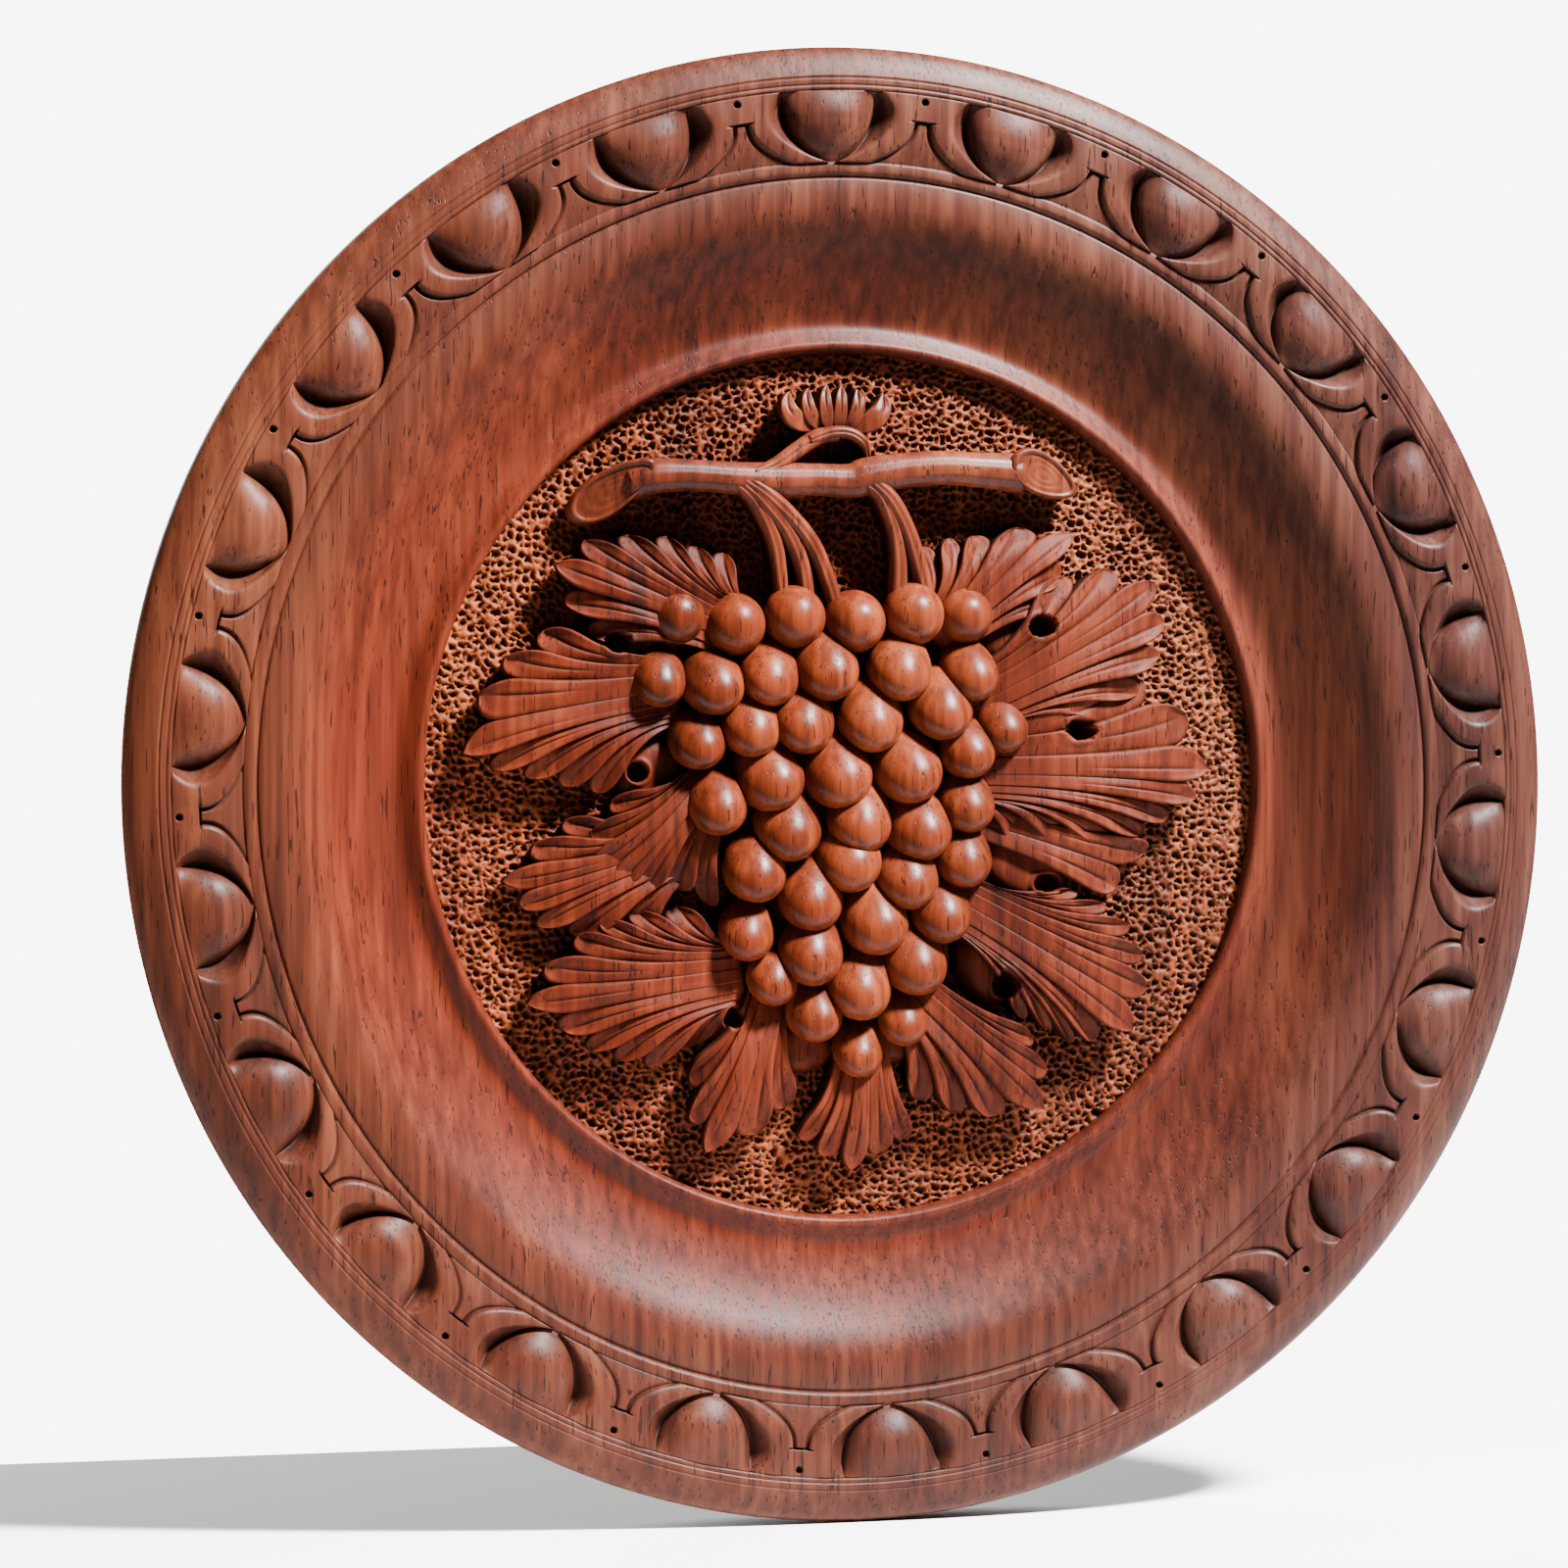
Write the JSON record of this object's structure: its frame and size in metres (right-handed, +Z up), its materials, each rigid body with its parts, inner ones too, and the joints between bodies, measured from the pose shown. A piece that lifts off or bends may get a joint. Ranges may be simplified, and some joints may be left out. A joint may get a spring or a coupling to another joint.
{
  "type": "wall plaque",
  "caption": "Round wooden wall plaque carved from one board: turned dish with an egg-and-dart rim, a deep cove and, on its matted ground, a bunch of grapes with vine leaves under a cut branch",
  "frame": {"origin": "centre of the flat back, on the wall's plane", "axes": "+Y points from the plaque into the wall, so the carved front faces -Y; +Z is up as the plaque hangs, with the branch at the top; +X is to the right as seen from the front"},
  "size_m": [0.38, 0.036, 0.38],
  "materials": {
    "wood": "satin"
  },
  "bodies": {
    "root": {"carved_plaque": "wood"}
  },
  "joints": []
}
